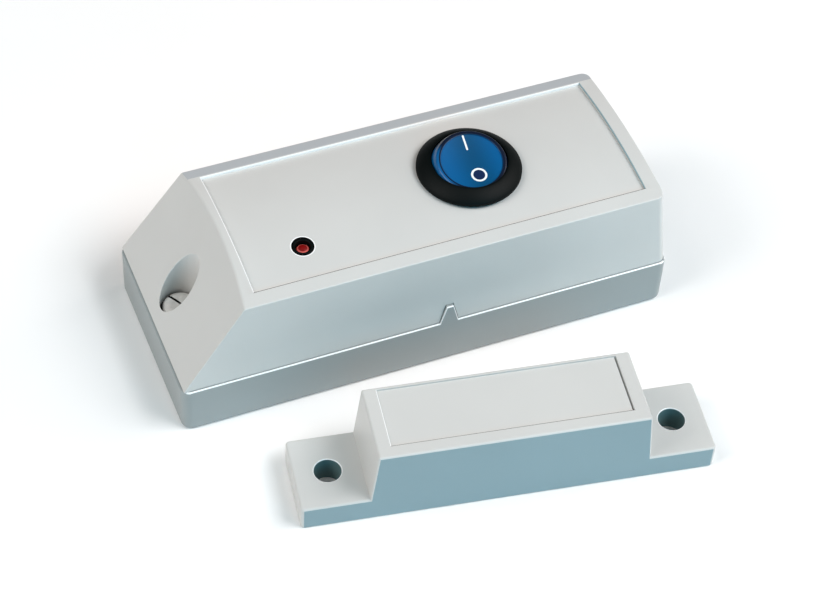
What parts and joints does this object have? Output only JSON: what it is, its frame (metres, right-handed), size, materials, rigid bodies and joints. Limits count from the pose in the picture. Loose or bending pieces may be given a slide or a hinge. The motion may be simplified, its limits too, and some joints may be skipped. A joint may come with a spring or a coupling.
{
  "type": "door contact sensor",
  "caption": "Door contact sensor: battery transmitter housing with a round rocker switch and lamp, and its eared magnet for the moving frame.",
  "frame": {"origin": "middle of the sensor's flat mounting face", "axes": "+X along the housing towards its plain end, -Y towards the magnet, +Z out of the mounting face towards the rocker switch"},
  "size_m": [0.1128, 0.0908, 0.039],
  "materials": {
    "white_abs": "fine satin moulding",
    "base_abs": "fine satin moulding",
    "black_nylon": "semi-gloss moulding",
    "blue_polycarbonate": "clear gloss moulding",
    "red_epoxy": "clear cast resin",
    "zinc_plated_steel": "zinc plate",
    "brass": "bright rolled",
    "tinned_copper": "tinned wire",
    "nickel_plated_steel": "nickel plate",
    "spring_steel": "drawn wire",
    "circuit_laminate": "solder mask on laminate",
    "moulded_epoxy": "matt moulding",
    "reed_glass": "drawn glass tube",
    "capacitor_sleeve": "shrunk sleeve",
    "enamelled_copper": "enamelled wire",
    "cell_wrap": "shrunk film on steel",
    "red_wire_sleeve": "extruded sleeve",
    "black_wire_sleeve": "extruded sleeve",
    "blue_wire_sleeve": "extruded sleeve",
    "ferrite": "ground ceramic"
  },
  "bodies": {
    "housing": {"base_tray": "base_abs", "cover": "white_abs", "cover_screw": "zinc_plated_steel", "switch_body": "black_nylon", "terminal_common": "brass", "terminal_switched": "brass", "indicator_lamp": "red_epoxy", "lamp_leg_left": "tinned_copper", "lamp_leg_right": "tinned_copper", "lamp_tube": "black_nylon", "circuit_board": "circuit_laminate", "board_screw_left": "zinc_plated_steel", "board_screw_right": "zinc_plated_steel", "reed_switch": "reed_glass", "reed_lead_left": "tinned_copper", "reed_lead_right": "tinned_copper", "encoder_chip": "moulded_epoxy", "resonator_can": "nickel_plated_steel", "capacitor": "capacitor_sleeve", "transistor": "moulded_epoxy", "antenna_coil": "enamelled_copper", "battery": "cell_wrap", "contact_negative": "nickel_plated_steel", "contact_positive": "nickel_plated_steel", "battery_spring": "nickel_plated_steel", "lead_positive": "red_wire_sleeve", "lead_negative": "black_wire_sleeve", "lead_switched": "blue_wire_sleeve", "magnet_housing": "white_abs", "bar_magnet": "ferrite", "magnet_plate": "white_abs"},
    "rocker": {"rocker": "blue_polycarbonate", "rocker_plunger": "brass", "rocker_spring": "spring_steel"},
    "contact_bar": {"contact_bar": "brass"}
  },
  "joints": [
    {"name": "rocker_tilt", "type": "hinge", "parent": "housing", "child": "rocker", "pos_m": [0.0161, 0, 0.0326], "axis": [-1, 0, 0], "range_deg": [0, 24]},
    {"name": "contact_tilt", "type": "hinge", "parent": "housing", "child": "contact_bar", "pos_m": [0.0161, 0, 0.0244], "axis": [-1, 0, 0], "range_deg": [-12, 0]}
  ],
  "couplings": [
    {"joint": "contact_tilt", "follows": "rocker_tilt", "ratio": -0.5}
  ]
}
